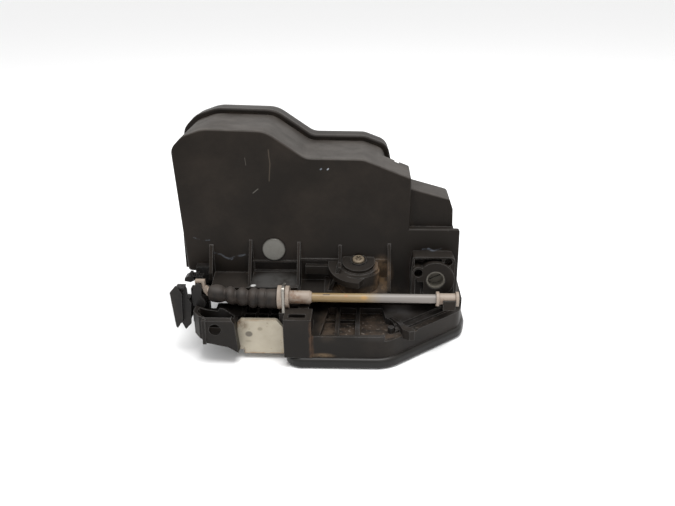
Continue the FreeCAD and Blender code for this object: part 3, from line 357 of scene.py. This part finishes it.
def finish_plastic(t, colour, rough=0.5, spec=0.13):
    """Grain and uneven gloss of moulded plastic."""
    rub = t.patches(11.0, 3.0, 0.5, 0.3, 0.7, rough - 0.08, rough + 0.1)
    grain = t.bump(t.noise(950.0, 2.0, 0.5), 0.1, 0.00015, t.bevel(0.0004))
    normal = t.bump(t.noise(14.0, 2.0, 0.5), 0.05, 0.002, grain)
    return t.done(colour, rub, normal, spec=spec)


# Marks on the cover's face: X and Z of their points, width and wobble in mm, and strength.
# A scratch has its colour too, and a scuff is blue-grey.
SCRATCHES = (
    (((-45.9, 104.8), (-45.2, 97.0), (-46.0, 88.0)), 0.3, 0.6, 0.45, (0.085, 0.068, 0.052)),
    (((-55.0, 81.2), (-52.2, 83.5)), 0.22, 0.0, 0.4, (0.20, 0.19, 0.17)),
    (((-58.4, 100.5), (-58.0, 96.5)), 0.16, 0.0, 0.5, (0.10, 0.09, 0.08)),
)
SCUFFS = (
    (((36.8, 49.6), (40.0, 50.2), (42.5, 49.0), (46.0, 50.1)), 0.4, 2.4, 0.8),
    (((39.5, 48.6), (44.0, 47.6)), 0.35, 2.4, 0.7),
    (((-79.1, 46.3), (-75.0, 45.6), (-70.5, 43.0), (-66.0, 44.2), (-61.4, 45.4)), 0.5, 2.0, 0.6),
    (((-69.3, 42.2), (-64.0, 44.6)), 0.3, 2.0, 0.7),
    (((-89.0, 55.6), (-85.0, 53.6), (-80.5, 54.0)), 0.3, 2.0, 0.4),
)

# Places along Y, in metres, of the painted highlight lines along the seam on top of the housing
RIM_HIGHLIGHT_LEVELS = (0.0284, 0.0312, 0.0388)


def housing_plastic():
    """Cover and rear half, with the photograph's scratches, scuffs and brown dust."""
    t = Tree("black_plastic")
    patchy = t.patches(160.0, 5.0, 0.7, 0.38, 0.62)
    blot = t.patches(90.0, 5.0, 0.65, 0.25, 0.6)
    bay = t.most(t.spot((2.0, -21.0, 28.5), (14.0, 8.0, 5.5), 0.4),
                 t.spot((14.5, -17.0, 35.0), (5.0, 9.0, 9.0)))
    low = t.spot((2.0, -14.0, 21.0), (30.0, 14.0, 7.0))
    shelf = t.spot((-44.0, -21.0, 32.6), (13.0, 8.0, 3.6), 0.3)
    rust = t.spot((14.8, -15.0, 34.0), (2.2, 8.0, 8.0))
    # Painted highlight: pale lines along the seam on the housing's top faces.
    lines = [t.ramp(t.math("ABSOLUTE", t.math("SUBTRACT", t.axis(1), level), 0.0),
                    0.0001, 0.0004, 1.0, 0.0) for level in RIM_HIGHLIGHT_LEVELS]
    rim = t.times(t.most(*lines), t.ramp(t.axis(2, t.normal), 0.1, 0.5),
                  t.ramp(t.axis(2), 0.08, 0.09))

    def mark(points, width, wobble, *strengths):
        """Mask of a mark on the cover's face."""
        return t.times(t.stroke(on_plane(COVER_Y, points), width, wobble=wobble), *strengths)

    colour = t.layer(
        base_plastic(t, (0.0086, 0.0064, 0.0047), 0.4, 0.3),
        (t.times(rim, 0.55), (0.11, 0.105, 0.10)),
        (t.times(shelf, blot, 0.7), (0.055, 0.054, 0.052)),
        (t.times(bay, t.ramp(patchy, 0.0, 1.0, 0.3, 1.0), 0.9), (0.15, 0.10, 0.062)),
        (t.times(low, patchy, 0.4), (0.06, 0.045, 0.032)),
        (t.times(rust, patchy, 0.8), (0.085, 0.052, 0.024)),
        *[(mark(points, width, wobble, strength), tone)
          for points, width, wobble, strength, tone in SCRATCHES],
        (t.stroke([(-56.2, -26.0, 31.9), (-53.6, -26.0, 33.8)], 0.9, 0.3, wobble=0.8),
         (0.40, 0.40, 0.39)),
        (mark([(-18.6, 94.5), (-18.1, 94.9)], 0.35, 1.0), BLUE),
        (mark([(-14.9, 94.5), (-14.4, 94.9)], 0.32, 1.0), (0.26, 0.28, 0.31)),
        *[(mark(points, width, wobble, patchy, strength), BLUE)
          for points, width, wobble, strength in SCUFFS])
    return finish_plastic(t, colour)


def frame_plastic():
    """Latch frame: browner, with dirt and metal dust in its pockets and rust at the seam."""
    t = Tree("frame_plastic")
    patchy = t.patches(170.0, 5.0, 0.7, 0.36, 0.6)
    pocket = t.times(t.ramp(t.axis(2), 0.0135, 0.0115), t.ramp(t.axis(1, t.normal), -0.6, 0.2),
                     t.spot((12.0, -32.0, 12.0), (34.0, 20.0, 8.0), 0.2))
    fleck = t.patches(620.0, 2.0, 0.6, 0.63, 0.69)
    seam = t.stroke(on_plane(SHELF_Y, [(-22.3, 25.0), (-22.3, -2.0)]), 1.1, wobble=1.8)
    slot = t.spot((-16.4, SHELF_Y, 3.6), (5.4, 6.0, 1.7))
    left = t.spot((-14.0, -34.0, 15.0), (5.0, 16.0, 4.0), 0.6)
    ledge = t.spot((26.0, -36.0, 15.4), (26.0, 18.0, 3.0), 0.6)
    colour = t.layer(
        base_plastic(t, (0.0074, 0.0059, 0.0047), 0.35, 0.4),
        (t.times(pocket, patchy, 0.9), (0.066, 0.047, 0.034)),
        (t.times(pocket, fleck, 0.8), (0.26, 0.23, 0.20)),
        (t.times(seam, patchy, 0.9), (0.056, 0.031, 0.018)),
        (t.times(slot, patchy, 0.9), (0.115, 0.078, 0.045)),
        (t.times(left, patchy, 0.5), DUST),
        (t.times(ledge, t.patches(60.0, 6.0, 0.7, 0.4, 0.7), 0.45), (0.075, 0.075, 0.078)))
    return finish_plastic(t, colour, 0.44, 0.16)


def plain_plastic(name, base, second, rough=0.5, spec=0.5, spots=()):
    """Moulded plastic with a faint second tone and further spots of colour."""
    t = Tree(name)
    colour = t.layer(t.mix(t.patches(60.0, 4.0, 0.6, 0.35, 0.75), base, second),
                     *[(t.spot(place, size, 0.1), over) for place, size, over in spots])
    # Edges drawn towards a mid tone: a painted highlight on dark plastic, a little darker on pale
    # plastic.
    rim = tuple(min(0.8, 0.75 * v + 0.07) for v in second)
    colour = t.mix(t.times(t.edges(0.0005, 0.01, 0.14), 0.5), colour, rim)
    normal = t.bump(t.noise(600.0, 2.0, 0.5), 0.08, 0.0001, t.bevel(0.0003))
    return t.done(colour, rough, normal, spec=spec)


def ferrule_plastic():
    """White moulded ferrule with brown blotches."""
    t = Tree("white_plastic")
    near = t.most(t.spot((-32.0, -38.0, 31.0), (3.0, 7.0, 5.0), 0.6),
                  t.spot((-28.8, -36.0, 27.0), (4.0, 6.0, 3.0), 0.6))
    colour = t.layer(
        (0.252, 0.206, 0.167),
        (t.times(t.patches(260.0, 5.0, 0.7, 0.5, 0.68), 0.45), (0.15, 0.09, 0.055)),
        (t.times(near, t.patches(300.0, 5.0, 0.7, 0.42, 0.6), 0.9), (0.14, 0.075, 0.04)),
        (t.times(t.cavity(0.003), 0.7), (0.12, 0.07, 0.045)))
    return t.done(colour, 0.5, t.bump(t.noise(500.0), 0.1, 0.0001, t.bevel(0.0004)), spec=0.4)


def conduit_plastic():
    """Yellowed conduit that turns grey-white towards the right, with a few marks."""
    t = Tree("conduit_plastic")
    tone = t.ramp(t.noise(40.0, 4.0, 0.6, t.stretch((0.5, 1.0, 1.0))), 0.35, 0.7)
    yellow = t.mix(tone, (0.190, 0.126, 0.054), (0.232, 0.171, 0.087))
    line = t.stroke([(-16.8, -35.05, 31.66), (-13.6, -35.0, 31.7)], 0.3, wobble=0.4)
    second = t.stroke([(-18.2, -35.9, 31.0), (-16.6, -36.0, 30.9)], 0.2, wobble=0.4)
    colour = t.layer(
        t.mix(t.ramp(t.axis(0), 0.002, 0.016), yellow, (0.183, 0.166, 0.151)),
        (t.times(t.patches(330.0, 4.0, 0.7, 0.62, 0.74), 0.35), (0.22, 0.13, 0.05)),
        (line, (0.03, 0.022, 0.018)),
        (t.times(second, 0.6), (0.12, 0.07, 0.035)),
        (t.spot((-4.7, -35.5, 31.35), (0.9, 1.0, 0.6)), (0.25, 0.13, 0.05)),
        (t.times(t.spot((4.9, -36.1, 30.6), (1.7, 1.2, 1.2), 0.6), 0.8), (0.32, 0.18, 0.05)))
    return t.done(colour, 0.42, t.bump(t.noise(420.0), 0.06, 0.0001), spec=0.45)


def metal(name, base, stain, rough, amount, metallic=0.85):
    """Plated steel with stains."""
    t = Tree(name)
    colour = t.mix(t.patches(90.0, 6.0, 0.7, 0.55, 0.75, 0.0, amount), base, stain)
    grain = t.noise(700.0, 3.0, 0.6)
    rub = t.ramp(grain, 0.2, 0.8, rough - 0.08, rough + 0.14)
    return t.done(colour, rub, t.bump(grain, 0.08, 0.0001, t.bevel(0.0003)), metal=metallic)


# Rivet on the cover: centre in metres, and turns of its rings in radians per metre
RIVET_CENTRE = (-45.0 * MM, 0.0, 49.0 * MM)
RIVET_RINGS = 9000.0


def rivet_steel():
    """Satin steel, brushed in circles about the rivet on the cover."""
    t = Tree("bright_steel")
    rel = t.vector("MULTIPLY", t.vector("SUBTRACT", t.place, RIVET_CENTRE), (1.0, 0.0, 1.0))
    radius = t.vector("LENGTH", rel)
    rings = t.math("SINE", t.math("MULTIPLY", radius, RIVET_RINGS), 0.0)
    rings = t.math("ADD", t.math("MULTIPLY", rings, 0.3), t.noise(420.0, 5.0, 0.7))
    colour = t.layer(
        (0.120, 0.117, 0.106),
        (t.ramp(rings, 0.2, 0.9), (0.180, 0.174, 0.158)),
        (t.ramp(radius, 0.0052, 0.0060, 0.0, 0.55), (0.10, 0.095, 0.085)),
        (t.times(t.patches(300.0, 5.0, 0.7, 0.55, 0.7), 0.4), (0.11, 0.10, 0.085)))
    rub = t.ramp(rings, 0.2, 0.8, 0.38, 0.58)
    return t.done(colour, rub, t.bump(rings, 0.12, 0.0001, t.bevel(0.0003)), metal=0.85)


def plate_steel():
    """Passivated plate: beige, with dark spots, brown corners and small pits."""
    t = Tree("zinc_steel")
    edge = t.patches(140.0, 5.0, 0.7, 0.35, 0.6)

    def area(x, z, wide, high, soft=0.5):
        """Mask of a spot on the flange's face."""
        return t.spot((x, FLANGE_Y, z), (wide, 2.0, high), soft)

    colour = t.layer(
        t.mix(t.patches(45.0, 5.0, 0.6, 0.3, 0.7), (0.34, 0.305, 0.24), (0.41, 0.37, 0.295)),
        (t.times(t.patches(420.0, 3.0, 0.6, 0.63, 0.70), 0.6), (0.2, 0.16, 0.11)),
        (t.times(area(-56.4, 11.7, 1.9, 1.6, 0.25), 0.9), (0.12, 0.105, 0.085)),
        (t.times(area(-50.3, 14.8, 1.3, 1.0, 0.3), 0.7), (0.22, 0.19, 0.14)),
        (t.times(area(-56.9, 7.4, 1.6, 0.6), 0.5), (0.24, 0.21, 0.16)),
        (t.times(area(-61.2, 17.6, 3.8, 3.6), edge), (0.14, 0.09, 0.05)),
        (t.times(area(-61.9, 1.8, 3.0, 2.4), 0.9), (0.10, 0.06, 0.035)),
        (t.times(area(-37.6, 4.0, 1.6, 10.0, 0.6), edge, 0.5), (0.30, 0.22, 0.13)),
        (t.times(area(-50.0, -0.2, 14.0, 1.0, 0.4), edge, 0.8), (0.22, 0.14, 0.08)),
        (t.times(area(-52.0, 20.2, 12.0, 0.9, 0.4), edge, 0.6), (0.26, 0.19, 0.12)))
    rub = t.patches(200.0, 4.0, 0.6, 0.3, 0.7, 0.42, 0.6)
    normal = t.bump(t.noise(300.0, 4.0, 0.6), 0.08, 0.0001, t.bevel(0.0004))
    return t.done(colour, rub, normal, metal=0.55)


def rubber(name, base, dust, rough=0.6, amount=0.5, spec=0.35):
    """Dull rubber with dust, and pale edges of wear and painted highlight."""
    t = Tree(name)
    up = t.ramp(t.axis(2, t.normal), 0.1, 0.95)
    colour = t.layer(
        base,
        (t.times(up, t.patches(50.0, 6.0, 0.7, 0.3, 0.75, 0.2, amount)), dust),
        # Pale edges: wear and painted highlight.
        (t.times(t.edges(0.0006), t.patches(80.0, 4.0, 0.6, 0.35, 0.65), 0.3), PALE))
    normal = t.bump(t.noise(500.0, 3.0, 0.6), 0.1, 0.0002, t.bevel(0.0005))
    return t.done(colour, rough, normal, spec=spec)


def boot_rubber():
    """Weathered rubber with brown blotches, brownish light rings on its crests painted as light
    from above, and painted shade in its folds.
    """
    t = Tree("boot_rubber")
    up = t.ramp(t.axis(2, t.normal), 0.25, 0.95)
    colour = t.layer(
        (0.0125, 0.0113, 0.0105),
        # Painted light: upward faces lighter.
        (t.times(up, 0.5), (0.070, 0.060, 0.053)),
        (t.times(t.patches(150.0, 6.0, 0.7, 0.35, 0.7), 0.3), (0.060, 0.042, 0.031)),
        # Painted shade: folds darkened nearly to black.
        (t.times(t.cavity(0.0025), 0.9), (0.005, 0.0045, 0.004)))
    return t.done(colour, 0.55, t.bump(t.noise(450.0, 3.0, 0.6), 0.15, 0.0002), spec=0.16)


# Dust inside the key cup: centre, half sizes and colour
KEY_CUP_DUST = ((43.2, -21.0, 36.6), (9.0, 9.0, 9.0), (0.13, 0.12, 0.10))

MATERIALS = {
    "black_plastic": housing_plastic(),
    "frame_plastic": frame_plastic(),
    "seal_rubber": rubber("seal_rubber", (0.0070, 0.0064, 0.0057), (0.030, 0.026, 0.022),
                          0.34, 0.4, 0.25),
    "boot_rubber": boot_rubber(),
    "zinc_steel": plate_steel(),
    "bright_steel": rivet_steel(),
    "hard_steel": metal("hard_steel", (0.24, 0.23, 0.22), (0.10, 0.07, 0.05), 0.35, 0.5),
    "spring_steel": metal("spring_steel", (0.26, 0.245, 0.22), (0.13, 0.09, 0.06), 0.34, 0.6),
    "white_plastic": ferrule_plastic(),
    "conduit_plastic": conduit_plastic(),
    "lining_plastic": plain_plastic("lining_plastic", (0.03, 0.03, 0.03), (0.05, 0.045, 0.04)),
    "gear_plastic": plain_plastic("gear_plastic", (0.70, 0.68, 0.60), (0.60, 0.57, 0.48)),
    "lever_plastic": plain_plastic("lever_plastic", (0.010, 0.0092, 0.0088),
                                   (0.024, 0.020, 0.017), 0.4, 0.16, [KEY_CUP_DUST]),
    "copper": metal("copper", (0.72, 0.42, 0.25), (0.3, 0.15, 0.08), 0.3, 0.3),
    "motor_can": metal("motor_can", (0.45, 0.46, 0.47), (0.3, 0.28, 0.25), 0.35, 0.2),
    "screw_steel": metal("screw_steel", (0.16, 0.125, 0.085), (0.07, 0.038, 0.02), 0.55, 0.8,
                         metallic=0.5),
    "buffer_rubber": rubber("buffer_rubber", (0.02, 0.02, 0.02), (0.05, 0.045, 0.04)),
}

for part in frame["record"]["subparts"]:
    node = frame["nodes"][part["node"]]
    node.data.materials.clear()
    node.data.materials.append(MATERIALS[part["material_slot"]])


# Boot from the ferrule to the lever: X, Z and outer radius, in mm
BOOT_KNOTS = (
    (-41.4, 28.5, 5.0), (-41.9, 28.5, 5.25), (-46.6, 28.5, 5.25), (-47.1, 28.5, 4.9),
    (-47.6, 28.5, 4.9), (-48.1, 28.6, 5.3), (-50.2, 28.7, 5.35), (-51.2, 28.8, 5.0),
    (-51.9, 28.9, 4.3), (-52.6, 28.9, 4.9), (-53.8, 28.8, 5.55), (-55.3, 28.8, 5.5),
    (-56.4, 28.8, 4.6), (-57.2, 28.9, 3.7), (-58.2, 29.1, 4.4), (-59.7, 29.4, 5.05),
    (-61.4, 29.5, 4.95), (-62.8, 29.3, 4.0), (-63.7, 29.2, 3.5), (-64.7, 29.6, 4.3),
    (-66.1, 30.0, 4.95), (-67.6, 30.2, 4.7), (-68.7, 30.4, 3.7), (-69.5, 30.5, 3.3),
    (-70.5, 30.7, 4.1), (-72.2, 31.0, 4.75), (-74.4, 31.2, 4.85), (-76.4, 31.3, 4.6),
    (-77.7, 31.4, 3.9), (-78.3, 31.4, 3.0),
)
BOOT_WALL = 0.8
BOOT_BORE = 1.4
BOOT_AROUND = 72
ROWS_PER_KNOT = 3
SMOOTHINGS = 2
ROWS_PER_WAVE = 5
WAVE_SEED = 7


def mesh_object(name, verts, faces, slot):
    """Smooth mesh piece in metres, with a record slot's material."""
    mesh = bpy.data.meshes.new(name)
    mesh.from_pydata([tuple(v) for v in verts], [], faces)
    mesh.update()
    bm = bmesh.new()
    bm.from_mesh(mesh)
    bmesh.ops.recalc_face_normals(bm, faces=bm.faces)
    bm.to_mesh(mesh)
    bm.free()
    for face in mesh.polygons:
        face.use_smooth = True
    obj = bpy.data.objects.new(name, mesh)
    SCENE.collection.objects.link(obj)
    mesh.materials.append(MATERIALS[slot])
    return obj


def revolve(centres, radii, around, wave):
    """Closed tube wall round a row of centres in mm that runs out and back inside."""
    verts = []
    faces = []
    for k, ((x, y, z), radius) in enumerate(zip(centres, radii)):
        for j in range(around):
            angle = 2.0 * math.pi * j / around
            r = radius + wave(k, angle)
            verts.append(Vector((x, y + r * math.cos(angle), z + r * math.sin(angle))) * MM)
    for k in range(len(centres)):
        here = k * around
        after = (k + 1) % len(centres) * around
        for j in range(around):
            turn = (j + 1) % around
            faces.append((here + j, here + turn, after + turn, after + j))
    return verts, faces


def make_boot():
    """Convoluted boot: rounded bellows of uneven size, with a collar at the ferrule."""
    line = []
    outer = []
    for (x0, z0, r0), (x1, z1, r1) in zip(BOOT_KNOTS, BOOT_KNOTS[1:]):
        for i in range(ROWS_PER_KNOT):
            f = i / ROWS_PER_KNOT
            line.append((x0 + (x1 - x0) * f, CABLE_Y, z0 + (z1 - z0) * f))
            outer.append(r0 + (r1 - r0) * f)
    x, z, radius = BOOT_KNOTS[-1]
    line.append((x, CABLE_Y, z))
    outer.append(radius)
    for _ in range(SMOOTHINGS):
        outer = [outer[0]] + [0.25 * a + 0.5 * b + 0.25 * c
                              for a, b, c in zip(outer, outer[1:], outer[2:])] + [outer[-1]]
    centres = line + line[::-1]
    radii = outer + [max(r - BOOT_WALL, BOOT_BORE) for r in outer[::-1]]
    rng = random.Random(WAVE_SEED)
    waves = [(rng.uniform(0.03, 0.09), rng.uniform(0, 6.3), rng.choice((2, 3, 3, 4)))
             for _ in centres]

    def wave(k, angle):
        """Slight unevenness round the boot, the same on both sides of its wall."""
        row = min(k, len(centres) - 1 - k) // ROWS_PER_WAVE * ROWS_PER_WAVE
        size, phase, lobes = waves[row]
        return size * math.sin(lobes * angle + phase)

    verts, faces = revolve(centres, radii, BOOT_AROUND, wave)
    boot = mesh_object("rubber_boot", verts, faces, "boot_rubber")
    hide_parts("cable_boot")
    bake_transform(boot)


make_boot()
